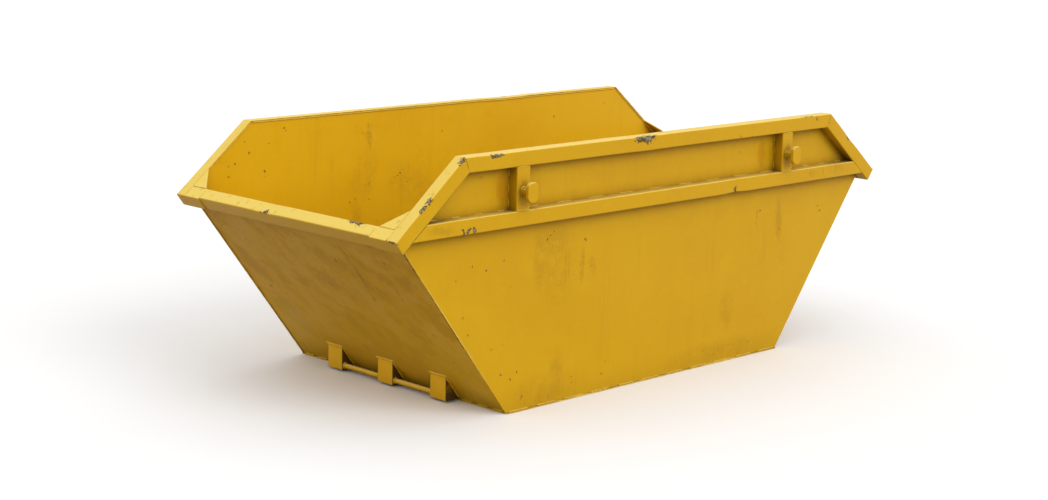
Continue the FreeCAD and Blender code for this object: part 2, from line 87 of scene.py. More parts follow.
# a paler yellow laid low on the end sheets: painted light
FOOT_LIGHT_YELLOW = (0.900, 0.520, 0.020)
# dark brown for grime and for painted shade in the corners and under the ledges
GRIME_AND_SHADE = (0.070, 0.030, 0.001)
RUN_BROWN = (0.205, 0.085, 0.010)
PALE_DUST = (0.620, 0.480, 0.220)
RUST = (0.230, 0.082, 0.014)
# dark rust brown, also used for painted shade on the flanks and for painted shadow lines
DARK_RUST_AND_SHADE = (0.045, 0.025, 0.012)
SCRAPED_STEEL = (0.150, 0.105, 0.066)
PRIMER_GREY = (0.310, 0.275, 0.190)
SHEEN = 0.20

# Each noise's scale, detail and roughness. Where the scale is one, the lengths below measure places.
UNEVENNESS = {
    "wander": (42.0, 5.0, 0.5),
    "tear": (7.0, 4.0, 0.5),
    "clouds": (1.7, 5.0, 0.6),
    "patches": (8.5, 5.0, 0.65),
    "grain": (150.0, 2.0, 0.5),
    "scraped lines": (1.0, 6.0, 0.7),
    "bald spots": (1.0, 6.0, 0.68),
    "smears": (1.0, 6.0, 0.68),
    "spatter": (95.0, 1.0, 0.5),
    "chalk": (26.0, 4.0, 0.5),
    "runs": (1.0, 5.0, 0.62),
    "threads": (1.0, 4.0, 0.6),
    "film": (11.0, 6.0, 0.70),
    "dots": (75.0, 3.0, 0.6),
    "soil_and_shade": (18.0, 5.0, 0.65),
    "rubbing and highlight": (30.0, 5.0, 0.7),
    "nicks": (23.0, 6.0, 0.75),
    "breaks": (48.0, 3.0, 0.5),
    "crumble": (85.0, 6.0, 0.75),
}
SCRAPE_LENGTHS = (0.035, 0.035, 0.35)
SMEAR_LENGTHS = (0.26, 0.11, 0.11)
RUN_LENGTHS = (0.085, 0.085, 1.1)
THREAD_LENGTHS = (0.016, 0.016, 0.28)

# Each layer: the value where it begins, the value where it is full, and how much it covers if not all
LAYERS = {
    "inner side": (-0.02, -0.06),
    "upper side": (0.90, 0.95),
    "low down": (0.66, 0.0),
    "scraped": (0.0, 0.05),
    "deep clouds": (0.42, 0.70, 0.40),
    "pale patches": (0.50, 0.72, 0.25),
    "deep patches": (0.46, 0.30, 0.30),
    "brown grain": (0.56, 0.72, 0.10),
    "pale smears": (0.48, 0.58, 0.42),
    "dark smears": (0.50, 0.40, 0.34),
    "shade up high": (0.35, 0.80, 0.12),
    "painted light at the foot": (0.55, 0.12, 0.50),
    "spatter": (0.60, 0.66, 0.90),
    "spattered spot": (1.0, 0.4),
    "sky side": (0.25, 0.75),
    "chalk": (0.20, 0.42),
    "settled dust": (0.85, 0.98, 0.13),
    "blush": (1.05, 0.45),
    "runs": (0.52, 0.74),
    "threads": (0.36, 0.64),
    "stain": (1.0, 0.3),
    "wide stain": (1.0, 0.2, 0.75),
    "film": (0.30, 0.62, 0.20),
    "dots": (0.58, 0.66, 0.26),
    "streaks": (0.50, 0.68, 0.12),
    "above the foot": (0.02, 0.25),
    "underside": (-0.25, -0.50, 0.10),
    "shaded flank": (0.5, 0.9),
    "flank shade patches": (0.15, 0.45),
    "bloom": (0.07, -0.02),
    "pit": (-0.01, -0.05, 0.85),
    "edge": (0.985, 0.80),
    "sharp edge": (0.30, 0.60),
    "rubbing and highlight": (0.40, 0.62),
    "nicks": (0.635, 0.655),
    "thin line": (1.0, 0.5),
    "unbroken": (0.36, 0.50, 0.80),
    "new rust": (0.45, 0.65),
    "rusty lines": (0.50, 0.68, 0.45),
    "lost paint": (2.27, 2.19),
    "primer": (2.62, 2.50),
}
# Values that are stretched and then shifted, by how much each
SHIFTS = {
    "scraping level": (-0.33, 0.98),
    "soil_and_shade": (0.90, 0.55),
    "foot shade share": (0.65, 0.35),
    "broken line": (0.42, 0.28),
}
# What each layer adds to the dullness of the surface, and to its relief
DULLING = {"patches": 0.20, "chalk": 0.14, "grime and shade": 0.30, "runs": 0.20, "bare": 0.25, "scraped": 0.10}
RELIEF = {"bloom": 0.35, "grain": 0.12, "patches": 0.80, "bare": -0.60, "scraped": -0.30}
LEAST_DULL = 0.34
BUMP_STRENGTH = 0.55
BUMP_DEPTH = 0.0015
# How deep a mark goes into a sheet, and how far noise pushes places about, in metres
SKIN = 0.013
WANDER_REACH = 0.045
TEAR_REACH = 0.16
# The bald spots' size from that of the scraped lines, and how much the lines weigh beside them
BALD_LEAST = 0.18
BALD_SHARE = 0.5
LINE_WEIGHT = 0.45
# How wide corners and edges are felt, in metres, and how sharply the grime and painted shade fall off
GRIME_AND_SHADE_REACH = 0.13
GRIME_AND_SHADE_POWER = 1.5
GRIME_AND_SHADE_SAMPLES = 8
EDGE_REACH = 0.006
EDGE_SAMPLES = 4
# Rust specks: how close they lie, how few there are, and how their sizes differ
SPECK_SCALE = 15.0
SPECK_STEP = 0.001
SPECK_SPREAD = -0.13
BLOOM_COVER = 0.28
NICK_COVER = 0.9
SCRAPED_COVER = 0.85
# How much noise frays a chip's border and its core
CRUMBLE_WEIGHT = 3.0
CORE_GRAIN = 1.4


def step(tree, kind, given, **settings):
    """One shader node. What is given to its inputs is a value or another node's output."""
    made = tree.nodes.new(kind)
    for name, value in settings.items():
        setattr(made, name, value)
    for name, value in given.items():
        if isinstance(value, bpy.types.NodeSocket):
            tree.links.new(value, made.inputs[name])
        elif isinstance(value, tuple) and made.inputs[name].type == "RGBA":
            made.inputs[name].default_value = (*value, 1)
        else:
            made.inputs[name].default_value = value
    return made


def plain_maths(tree, operation, first, second=0.0, third=0.0):
    """A sum, product or the like of numbers."""
    given = {0: first, 1: second, 2: third}
    return step(tree, "ShaderNodeMath", given, operation=operation).outputs[0]


def vector_maths(tree, operation, *vectors):
    """A sum, product or the like of vectors, as a vector or a number."""
    made = step(tree, "ShaderNodeVectorMath", dict(enumerate(vectors)), operation=operation)
    return made.outputs[1 if operation in ("DOT_PRODUCT", "LENGTH") else 0]


def along_axis(tree, vector, axis):
    """How far a vector goes along x, y or z."""
    return step(tree, "ShaderNodeSeparateXYZ", {0: vector}).outputs["xyz".index(axis)]


def share_of(tree, *shares):
    """The product of shares, kept between nought and one."""
    product = shares[0]
    for share in shares[1:]:
        given = {0: product, 1: share}
        product = step(tree, "ShaderNodeMath", given, operation="MULTIPLY", use_clamp=True).outputs[0]
    return product


def over(tree, share, below, above):
    """Lays one colour over another by a share."""
    given = {0: share, 6: below, 7: above}
    return step(tree, "ShaderNodeMix", given, data_type="RGBA").outputs[2]


def ramp(tree, value, begin, full, cover=1.0):
    """Runs smoothly from nought to a cover, as a value goes from one limit to the other."""
    given = {"Value": value, "From Min": begin, "From Max": full, "To Max": cover}
    return step(tree, "ShaderNodeMapRange", given, interpolation_type="SMOOTHSTEP").outputs[0]


def fade(tree, value, layer):
    """How much of a layer shows at a value."""
    return ramp(tree, value, *LAYERS[layer])


def laid(tree, colour, value, layer, above):
    """Lays a colour over another as far as a layer shows at a value."""
    return over(tree, fade(tree, value, layer), colour, above)


def shifted(tree, value, what):
    """A value stretched and then shifted."""
    return plain_maths(tree, "MULTIPLY_ADD", value, *SHIFTS[what])


def weighed(tree, layers, weights, total=0.0):
    """The sum of layers, each times its weight."""
    for layer, weight in weights.items():
        total = plain_maths(tree, "MULTIPLY_ADD", layers[layer], weight, total)
    return total


def unevenness(tree, place, kind):
    """Grainy noise, as a number between nought and one and as a vector of three."""
    scale, detail, roughness = UNEVENNESS[kind]
    given = {"Vector": place, "Scale": scale, "Detail": detail, "Roughness": roughness}
    return step(tree, "ShaderNodeTexNoise", given).outputs


def speckle(tree, place, kind):
    """Grainy noise between nought and one, most of it near a half."""
    return unevenness(tree, place, kind)[0]


def measured_in(tree, place, lengths, middle=(0, 0, 0), turn=(0, 0, 0)):
    """Places measured from a middle in three lengths, along axes that may be turned."""
    given = {"Vector": place, "Location": middle, "Rotation": turn, "Scale": lengths}
    return step(tree, "ShaderNodeMapping", given, vector_type="TEXTURE").outputs[0]


def nearest_mark(tree, place, marks, through=None):
    """How far a spot lies from the nearest mark, one being the mark's own edge. A mark runs from a
    start to a finish and has a half width. On a sheet it also reaches through the sheet."""
    nearest = None
    for start, finish, width in marks:
        start, finish = Vector(start), Vector(finish)
        along = finish - start
        lengths = (along.length / 2 + width, width, width)
        turn = along.to_track_quat("X", "Z").to_euler()
        if through:
            across = through.cross(along).normalized()
            axes = Matrix((along.normalized(), across, along.cross(across).normalized()))
            turn = axes.transposed().to_euler()
            lengths = (along.length / 2 + width, width, max(width, SKIN))
        local = measured_in(tree, place, lengths, (start + finish) / 2, turn)
        away = vector_maths(tree, "LENGTH", local)
        nearest = away if nearest is None else plain_maths(tree, "MINIMUM", nearest, away)
    return nearest


def enamel(name, paint=YELLOW, inside=None, chalk=0.85, grime_and_shade=1.3, runs=0.0, specks=0.2, rub_and_highlight=0.5, sheen=SHEEN,
           strokes=None, through=None, flank_shade=0.0, chips=(), stains=(), films=(), blushes=(), scratches=(), rubs_and_highlights=(),
           dust=(), scrape=SCRAPE_LENGTHS, deepest=0.80, blushed=0.75):
    """Worn golden enamel on steel, with painted shade and painted highlights. Chips go down to primer,
    stains are runs of dirt, films are wide and faint ones, blushes are spots where the paint has gone
    orange, scratches are thin dark lines, some of them painted shadow lines, rubs are pale ones that
    are partly painted highlights, and dust is a pale spatter. Strokes are smears of dust along a
    direction, through is the direction that crosses a sheet, the flank setting is how much painted shade
    the faces take that look along the end rims, scrape is the size of the scraped lines, deepest is how
    much grime and painted shade the corners take at most, and blushed is how orange a blush is."""
    material = bpy.data.materials.new(name)
    material.use_nodes = True
    tree = material.node_tree
    shader = tree.nodes["Principled BSDF"]
    coordinates = tree.nodes.new("ShaderNodeTexCoord")
    place = coordinates.outputs["Object"]
    facing = coordinates.outputs["Normal"]
    upward = along_axis(tree, facing, "z")
    height = along_axis(tree, place, "z")

    # places pushed about by noise give ragged outlines
    wander = vector_maths(tree, "SUBTRACT", unevenness(tree, place, "wander")[1], (0.5,) * 3)
    ragged = vector_maths(tree, "MULTIPLY_ADD", wander, (WANDER_REACH,) * 3, place)

    # paint: broad clouds, patches and fine grain
    patches = speckle(tree, place, "patches")
    grain = speckle(tree, place, "grain")
    colour = paint
    deeper = DEEP_YELLOW
    scraped = 0.0
    if inside:
        flat = vector_maths(tree, "MULTIPLY", place, (1, 1, 0))
        outward = vector_maths(tree, "DOT_PRODUCT", flat, facing)
        inner = plain_maths(tree, "MAXIMUM", fade(tree, outward, "inner side"), fade(tree, upward, "upper side"))
        # inside faces and faces turned up take the paler copy of the yellow: painted light
        colour = over(tree, inner, paint, inside)
        deeper = over(tree, inner, DEEP_YELLOW, DEEP_INSIDE_LIGHTENED)
        # rubble scrapes the lower part down to steel, in lines that run down the slope
        lines = speckle(tree, measured_in(tree, place, scrape), "scraped lines")
        bald_lengths = tuple(BALD_LEAST + BALD_SHARE * length for length in scrape)
        bald = speckle(tree, measured_in(tree, place, bald_lengths), "bald spots")
        level = shifted(tree, fade(tree, height, "low down"), "scraping level")
        bare_here = plain_maths(tree, "SUBTRACT", plain_maths(tree, "MULTIPLY_ADD", lines, LINE_WEIGHT, bald), level)
        scraped = share_of(tree, inner, fade(tree, bare_here, "scraped"))
    colour = laid(tree, colour, speckle(tree, place, "clouds"), "deep clouds", deeper)
    colour = laid(tree, colour, patches, "pale patches", PALE_YELLOW)
    colour = laid(tree, colour, patches, "deep patches", deeper)
    colour = laid(tree, colour, grain, "brown grain", RUN_BROWN)

    # smears of dust along a direction, torn and uneven
    if strokes:
        torn = vector_maths(tree, "MULTIPLY_ADD", unevenness(tree, place, "tear")[1], (TEAR_REACH,) * 3, ragged)
        turn = strokes.to_track_quat("X", "Z").to_euler()
        smear = speckle(tree, measured_in(tree, torn, SMEAR_LENGTHS, turn=turn), "smears")
        colour = laid(tree, colour, smear, "pale smears", PALE_SMEAR)
        colour = laid(tree, colour, smear, "dark smears", DARK_SMEAR)
        # painted shade, darker towards the top of the sheet, and painted light, paler towards its foot
        colour = laid(tree, colour, height, "shade up high", GRIME_AND_SHADE)
        colour = laid(tree, colour, height, "painted light at the foot", FOOT_LIGHT_YELLOW)
    if dust:
        spatter = fade(tree, speckle(tree, place, "spatter"), "spatter")
        near_dust = fade(tree, nearest_mark(tree, ragged, dust, through), "spattered spot")
        colour = over(tree, share_of(tree, near_dust, spatter), colour, PALE_DUST)

    # chalk and pale dust on what faces the sky
    chalky = share_of(tree, fade(tree, upward, "sky side"), chalk)
    chalk_cover = share_of(tree, chalky, fade(tree, speckle(tree, place, "chalk"), "chalk"))
    colour = over(tree, chalk_cover, colour, CHALK_AND_HIGHLIGHT_YELLOW)
    colour = laid(tree, colour, upward, "settled dust", PALE_DUST)

    # orange blushes
    if blushes:
        blush = fade(tree, nearest_mark(tree, ragged, blushes), "blush")
        colour = over(tree, share_of(tree, blush, blushed), colour, ORANGE_YELLOW)

    # runs of dirt down the sheet
    running = speckle(tree, measured_in(tree, place, RUN_LENGTHS), "runs")
    thread = speckle(tree, measured_in(tree, place, THREAD_LENGTHS), "threads")
    run = share_of(tree, fade(tree, running, "runs"), fade(tree, thread, "threads"), runs)
    if stains:
        # a thin film of dirt, uneven, with streaks and dots in it
        stain = fade(tree, nearest_mark(tree, ragged, stains), "stain")
        if films:
            stain = plain_maths(tree, "MAXIMUM", stain, fade(tree, nearest_mark(tree, ragged, films), "wide stain"))
        film = fade(tree, speckle(tree, place, "film"), "film")
        dots = fade(tree, speckle(tree, place, "dots"), "dots")
        soiled = plain_maths(tree, "ADD", plain_maths(tree, "ADD", film, fade(tree, thread, "streaks")), dots)
        run = plain_maths(tree, "ADD", run, share_of(tree, stain, soiled))
    colour = over(tree, run, colour, RUN_BROWN)

    # grime and painted shade in the corners and under the ledges, darkest where least light reaches
    given = {"Distance": GRIME_AND_SHADE_REACH}
    open_share = step(tree, "ShaderNodeAmbientOcclusion", given, samples=GRIME_AND_SHADE_SAMPLES).outputs[1]
    sheltered = plain_maths(tree, "POWER", plain_maths(tree, "SUBTRACT", 1.0, open_share), GRIME_AND_SHADE_POWER)
    soil_and_shade = plain_maths(tree, "MULTIPLY", shifted(tree, speckle(tree, place, "soil_and_shade"), "soil_and_shade"), grime_and_shade)
    if inside:
        # the grime and painted shade are weaker towards the foot of a sheet
        less_shade_at_foot = shifted(tree, fade(tree, height, "above the foot"), "foot shade share")
        soil_and_shade = plain_maths(tree, "MULTIPLY", soil_and_shade, less_shade_at_foot)
    grime_and_shade_share = plain_maths(tree, "MINIMUM", plain_maths(tree, "MULTIPLY", sheltered, soil_and_shade), deepest)
    # painted shade: faces turned down are darkened
    grime_and_shade_share = plain_maths(tree, "MAXIMUM", grime_and_shade_share, fade(tree, upward, "underside"))
    colour = over(tree, grime_and_shade_share, colour, GRIME_AND_SHADE)
    # painted shade: faces that look along y, such as the webs of the tipping straps, are darkened in patches
    if flank_shade:
        across = plain_maths(tree, "ABSOLUTE", along_axis(tree, facing, "y"))
        flank_shade_share = share_of(tree, fade(tree, across, "shaded flank"), fade(tree, patches, "flank shade patches"), flank_shade)
        colour = over(tree, flank_shade_share, colour, DARK_RUST_AND_SHADE)

    # rust specks, each a dark pit in an orange bloom
    cell = step(tree, "ShaderNodeTexVoronoi", {"Vector": ragged, "Scale": SPECK_SCALE})
    chance = step(tree, "ShaderNodeSeparateColor", {0: cell.outputs["Color"]})
    here = ramp(tree, chance.outputs[0], 1 - specks, 1 - specks + SPECK_STEP)
    near = plain_maths(tree, "MULTIPLY_ADD", chance.outputs[1], SPECK_SPREAD, cell.outputs["Distance"])
    bloom = share_of(tree, fade(tree, near, "bloom"), here)
    colour = over(tree, share_of(tree, bloom, BLOOM_COVER), colour, RUST)
    colour = over(tree, share_of(tree, fade(tree, near, "pit"), here), colour, DARK_RUST_AND_SHADE)

    # edges rubbed to a pale line that is partly a painted highlight, with small chips
    rounded = step(tree, "ShaderNodeBevel", {"Radius": EDGE_REACH}, samples=EDGE_SAMPLES).outputs[0]
    true_facing = tree.nodes.new("ShaderNodeNewGeometry").outputs["Normal"]
    edge = fade(tree, vector_maths(tree, "DOT_PRODUCT", rounded, true_facing), "edge")
    rub_and_highlight_patches = fade(tree, speckle(tree, place, "rubbing and highlight"), "rubbing and highlight")
    colour = over(tree, share_of(tree, edge, rub_and_highlight_patches, rub_and_highlight), colour, CHALK_AND_HIGHLIGHT_YELLOW)
    if rubs_and_highlights:
        line = fade(tree, nearest_mark(tree, place, rubs_and_highlights, through), "thin line")
        colour = over(tree, share_of(tree, line, shifted(tree, rub_and_highlight_patches, "broken line")), colour, CHALK_AND_HIGHLIGHT_YELLOW)
    nick = share_of(tree, fade(tree, edge, "sharp edge"), fade(tree, speckle(tree, place, "nicks"), "nicks"))
    colour = over(tree, share_of(tree, nick, NICK_COVER), colour, DARK_RUST_AND_SHADE)

    # scratches, broken here and there
    if scratches:
        scored = fade(tree, nearest_mark(tree, place, scratches, through), "thin line")
        unbroken = fade(tree, speckle(tree, place, "breaks"), "unbroken")
        colour = over(tree, share_of(tree, scored, unbroken), colour, DARK_RUST_AND_SHADE)

    # bare steel where rubble has scraped the paint off, brown with new rust
    if inside:
        rusty = laid(tree, SCRAPED_STEEL, bald, "new rust", RUST)
        rusty = laid(tree, rusty, lines, "rusty lines", DARK_RUST_AND_SHADE)
        colour = over(tree, share_of(tree, scraped, SCRAPED_COVER), colour, rusty)

    # chips down to primer, with a rusty border
    bare = nick
    if chips:
        crumble = speckle(tree, place, "crumble")
        chip = plain_maths(tree, "MULTIPLY_ADD", crumble, CRUMBLE_WEIGHT, nearest_mark(tree, ragged, chips))
        lost = fade(tree, chip, "lost paint")
        core = plain_maths(tree, "MULTIPLY_ADD", grain, CORE_GRAIN, chip)
        colour = over(tree, lost, colour, DARK_RUST_AND_SHADE)
        colour = laid(tree, colour, core, "primer", PRIMER_GREY)
        bare = plain_maths(tree, "MAXIMUM", nick, lost)
    tree.links.new(colour, shader.inputs["Base Color"])

    # sheen and relief: chalk, dirt, painted shade and bare spots are duller, rust is raised and chips are sunken
    layers = {
        "patches": patches, "grain": grain, "bloom": bloom, "chalk": chalky, "grime and shade": grime_and_shade_share, "runs": run,
        "bare": bare, "scraped": scraped,
    }
    tree.links.new(weighed(tree, layers, DULLING, LEAST_DULL), shader.inputs["Roughness"])
    shader.inputs["Specular IOR Level"].default_value = sheen
    given = {"Strength": BUMP_STRENGTH, "Distance": BUMP_DEPTH, "Height": weighed(tree, layers, RELIEF)}
    tree.links.new(step(tree, "ShaderNodeBump", given).outputs[0], shader.inputs["Normal"])
    return material


# Knocks that reach more than one piece: where, how wide, and how far each pushes the metal
KNOCKS = [(Vector(centre), reach, Vector(push)) for centre, reach, push in (
    ((-1.665, 0.110, 0.885), 0.090, (0.006, 0, -0.004)),
    ((-1.665, -0.765, 0.880), 0.060, (0.005, 0.003, -0.003)),
    ((-0.115, -0.785, 1.195), 0.130, (0, 0.004, -0.003)),
    ((-1.090, -0.785, 1.195), 0.080, (0, 0.003, -0.002)),
    ((0.533, -0.790, 0.868), 0.050, (0, 0.005, 0.004)),
    ((1.450, -0.785, 1.060), 0.045, (-0.002, 0.001, -0.0025)),
    ((-1.500, -0.780, 1.015), 0.090, (0.002, 0.003, -0.003)),
    ((1.640, 0.250, 0.890), 0.110, (-0.006, 0, -0.004)),
    ((0.420, 0.785, 1.190), 0.140, (0, -0.005, -0.003)),
    ((-0.700, 0.790, 0.880), 0.080, (0, -0.005, 0.003)),
    ((1.660, -0.300, 0.880), 0.080, (-0.005, 0, 0.003)),
)]
DOUBLES = 0.00002
SMALLEST = 1e-6
BEVEL_STEPS = 2
ROUND = 0.5
FLAT_ANGLE = math.radians(0.4)
SHARP_ANGLE = math.radians(34)


def knocked(point):
    """Where a point of the new skip lies on the worn one."""
    moved = point.copy()
    for centre, reach, push in KNOCKS:
        fall = (point - centre).length / reach
        moved += push * math.exp(-fall * fall)
    return moved


def show(shape, name, material, nodes=()):
    """Makes a finished piece from a shape, hangs it on the root body and hides the CAD pieces it stands in for."""
    mesh = bpy.data.meshes.new(name)
    shape.to_mesh(mesh)
    shape.free()
    mesh.shade_smooth()
    piece = bpy.data.objects.new(name, mesh)
    bpy.context.scene.collection.objects.link(piece)
    mesh.materials.append(material)
    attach(piece, "root")
    if nodes:
        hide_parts(*nodes)
    return piece


def worn(node, material, rounding=0.0010, spacing=0.04, across="xyz", bulge=None):
    """The CAD piece with softened edges, cut into a fine grid and then knocked and bulged."""
    shape = bmesh.new()
    shape.from_mesh(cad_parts[node].data)
    bmesh.ops.remove_doubles(shape, verts=shape.verts, dist=DOUBLES)
    bmesh.ops.dissolve_limit(shape, angle_limit=FLAT_ANGLE, verts=shape.verts, edges=shape.edges)
    sharp = [edge for edge in shape.edges if edge.is_manifold and edge.calc_face_angle() > SHARP_ANGLE]
    bmesh.ops.bevel(
        shape, geom=sharp, affect="EDGES", offset=rounding, segments=BEVEL_STEPS, profile=ROUND, material=-1,
        clamp_overlap=True,
    )
    low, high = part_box(node)
    for axis in ("xyz".index(letter) for letter in across):
        normal = Vector((0, 0, 0))
        normal[axis] = 1
        cuts = max(1, math.ceil((high[axis] - low[axis]) / spacing))
        for cut in range(1, cuts):
            level = normal * (low[axis] + (high[axis] - low[axis]) * cut / cuts)
            everything = shape.verts[:] + shape.edges[:] + shape.faces[:]
            bmesh.ops.bisect_plane(shape, geom=everything, plane_co=level, plane_no=normal, dist=SMALLEST)
    for vert in shape.verts:
        moved = knocked(vert.co)
        vert.co = moved + bulge(moved) if bulge else moved
    piece = show(shape, f"{node}_worn", material, (node,))
    piece.modifiers.new("even_shading", "WEIGHTED_NORMAL").keep_sharp = True
    return piece


ENDS = {"left": -1, "right": 1}
SIDES = {"front": -1, "back": 1}
LIP_EDGE = (0.955, 0.7425, 0.004)
LIP_RUB_AND_HIGHLIGHT_WIDTH = 0.009
FLOOR_SCRAPE = (0.45, 0.030, 0.030)


def quarter(x_way, y_way, place):
    """A place that is given for the back right quarter, mirrored to another."""
    x, y, z = place
    return Vector((x_way * x, y_way * y, z))


# A pale line along the floor's lip on each side: rubbed paint, and partly a painted highlight on the lip
lip_rubs_and_highlights = [(quarter(-1, y_way, LIP_EDGE), quarter(1, y_way, LIP_EDGE), LIP_RUB_AND_HIGHLIGHT_WIDTH) for y_way in SIDES.values()]
floor_enamel = enamel(
    "floor_enamel", inside=INSIDE_YELLOW_LIGHTENED, specks=0.45, rub_and_highlight=0.8, chalk=0.2, rubs_and_highlights=lip_rubs_and_highlights, scrape=FLOOR_SCRAPE
)
worn("floor_plate", floor_enamel, spacing=0.08, across="xy")

# Each end is one flat sheet that leans out from the floor to the rim. Its outside faces the ground, so
# it is dull with road dust and scored by what the lorry and other skips have pushed against it.
END_FOOT = 0.955
END_SLOPE = 0.7547
END_THICKNESS = 0.004
END_BULGE = 0.007
# The slack's waves across and up the sheet, and what sets the two ends apart
END_WAVES = (2.4, 2.9, 7.3)
END_STROKES = (-0.45, -0.75, -0.60)
# The ends' yellow is paler than the sides': painted light that makes up for the shade on their outsides, which face
# the ground
END_PAINT_LIGHTENED = (0.735, 0.390, 0.014)
END_DUST = (
    ((1.150, 0.560, 0.260), (1.105, 0.500, 0.200), 0.060),
    ((1.060, 0.300, 0.130), (1.040, 0.200, 0.110), 0.050),
    ((1.010, -0.560, 0.080), (1.000, -0.660, 0.070), 0.045),
)
END_SCRATCHES = (
    ((1.544, -0.243, 0.780), (1.476, -0.271, 0.691), 0.0036),
    ((1.476, -0.271, 0.691), (1.345, -0.260, 0.517), 0.0034),
    ((1.345, -0.260, 0.517), (1.325, -0.259, 0.490), 0.0042),
    ((1.406, -0.473, 0.597), (1.353, -0.487, 0.527), 0.0024),
    ((1.508, -0.524, 0.733), (1.498, -0.520, 0.720), 0.0045),
    ((1.241, -0.536, 0.379), (1.227, -0.562, 0.360), 0.0042),
    ((1.132, -0.565, 0.234), (1.130, -0.567, 0.232), 0.0040),
    ((1.105, 0.100, 0.200), (1.070, 0.080, 0.152), 0.0020),
    ((1.300, 0.300, 0.457), (1.230, 0.240, 0.365), 0.0016),
    ((1.390, 0.060, 0.576), (1.330, 0.010, 0.497), 0.0015),
)
# Painted shadow: a dark line along one side's edge, in the corner where the end sheet meets the side's lip. The
# height along the slope where it begins and ends, y and half width
EDGE_SHADOW_LINES = ((1.080, 0.860, 0.7175, 0.0080), (0.840, 0.300, 0.7190, 0.0060))
# Road dirt round the tipping gear: its height along the slope, how far it goes to each side, half width
SPLASH_UP = 0.110
SPLASH_REACH = 0.430
SPLASH_WIDTH = 0.170
end_low, end_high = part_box("end_plate_right")
end_lean = math.atan(END_SLOPE)


def on_end(end, up, out, y):
    """A place by an end sheet: its height along the slope, how far it stands off, and y."""
    x = END_FOOT + up * math.sin(end_lean) + out * math.cos(end_lean)
    return Vector((ENDS[end] * x, y, up * math.cos(end_lean) - out * math.sin(end_lean)))


def end_bulge(point):
    """Slack in an end sheet, none at its welded edges."""
    up = (point.z - end_low.z) / (end_high.z - end_low.z)
    along = (point.y - end_low.y) / (end_high.y - end_low.y)
    if not (0 < up < 1 and 0 < along < 1):
        return Vector((0, 0, 0))
    slack = math.sin(math.pi * up) * math.sin(math.pi * along)
    across_wave, up_wave, apart = END_WAVES
    wave = noise.noise(Vector((point.y * across_wave, point.z * up_wave, math.copysign(apart, point.x))))
    outward = Vector((math.copysign(math.cos(end_lean), point.x), 0, -math.sin(end_lean)))
    return outward * END_BULGE * slack * wave


def at_end(way, marks):
    """Marks as the photograph shows them on the left end, or turned half round for the right end."""
    return [((way * a[0], -way * a[1], a[2]), (way * b[0], -way * b[1], b[2]), width) for a, b, width in marks]


for end, way in ENDS.items():
    marks = at_end(way, END_SCRATCHES)
    # painted shadow lines in the corners along the side edges, laid with the scratches
    for high, low, across, width in EDGE_SHADOW_LINES:
        marks.append((on_end(end, high, 0, way * across), on_end(end, low, 0, way * across), width))
    splash = (on_end(end, SPLASH_UP, 0, -SPLASH_REACH), on_end(end, SPLASH_UP, 0, SPLASH_REACH), SPLASH_WIDTH)
    end_enamel = enamel(
        f"end_enamel_{end}", paint=END_PAINT_LIGHTENED, inside=INSIDE_YELLOW_LIGHTENED, runs=0.08, specks=0.14, rub_and_highlight=0.3, chalk=0.3,
        grime_and_shade=1.6, deepest=0.5, sheen=0.08, blushes=(splash,), blushed=0.35, strokes=quarter(way, 1, END_STROKES),
        scratches=marks, dust=at_end(way, END_DUST),
        through=Vector((way * math.cos(end_lean), 0, -math.sin(end_lean))),
    )
    worn(f"end_plate_{end}", end_enamel, spacing=0.05, across="yz", bulge=end_bulge)

# Each side is one tall sheet, cut back at its top corners. The place of the lettering is left bare.
# Rain has drawn dirt down from the rails, and small pits of rust come through the paint.
SIDE_BULGE = 0.0065
# The slack's waves along and up the sheet, what sets the two sides apart, and how soon it is full
SIDE_WAVES = (1.7, 2.6, 3.1)
SIDE_RISE = 4
# Along the sheet's sloping edge the paint is rubbed pale, and the pale line is partly a painted highlight
EDGE_RUBS_AND_HIGHLIGHTS = (((1.5935, 0.735, 0.838), (1.0180, 0.735, 0.076), 0.0060),)
SIDE_STAINS = (
    ((-0.768, -0.735, 0.810), (-0.764, -0.735, 0.540), 0.055),
    ((-0.484, -0.735, 0.730), (-0.499, -0.735, 0.540), 0.024),
    ((-0.432, -0.735, 0.650), (-0.416, -0.735, 0.570), 0.028),
    ((0.770, -0.735, 0.800), (0.776, -0.735, 0.620), 0.012),
    ((0.939, -0.735, 0.800), (0.955, -0.735, 0.560), 0.035),
    ((-0.650, -0.735, 0.230), (-0.644, -0.735, 0.060), 0.065),
    ((-0.540, 0.732, 1.130), (-0.535, 0.732, 1.010), 0.035),
    ((0.300, 0.735, 0.800), (0.300, 0.735, 0.400), 0.060),
    ((-0.620, 0.735, 0.800), (-0.620, 0.735, 0.300), 0.050),
)
SIDE_FILMS = (
    ((-0.680, -0.735, 0.800), (-0.640, -0.735, 0.540), 0.170),
    ((-0.914, -0.735, 0.070), (-0.520, -0.735, 0.060), 0.120),
    ((0.100, -0.735, 0.050), (0.900, -0.735, 0.060), 0.080),
    ((0.560, -0.735, 0.320), (0.560, -0.735, 0.200), 0.070),
    ((-0.540, 0.732, 0.950), (-0.600, 0.732, 0.780), 0.110),
    ((-0.350, 0.732, 0.850), (-0.150, 0.732, 0.740), 0.150),
    ((0.300, 0.735, 0.800), (0.340, 0.735, 0.400), 0.130),
    ((0.900, 0.735, 0.300), (0.700, 0.735, 0.050), 0.120),
)
SIDE_BLUSHES = (
    ((-1.010, -0.735, 1.070), (-1.010, -0.735, 0.990), 0.045),
    ((0.790, -0.735, 1.080), (0.790, -0.735, 0.970), 0.040),
)
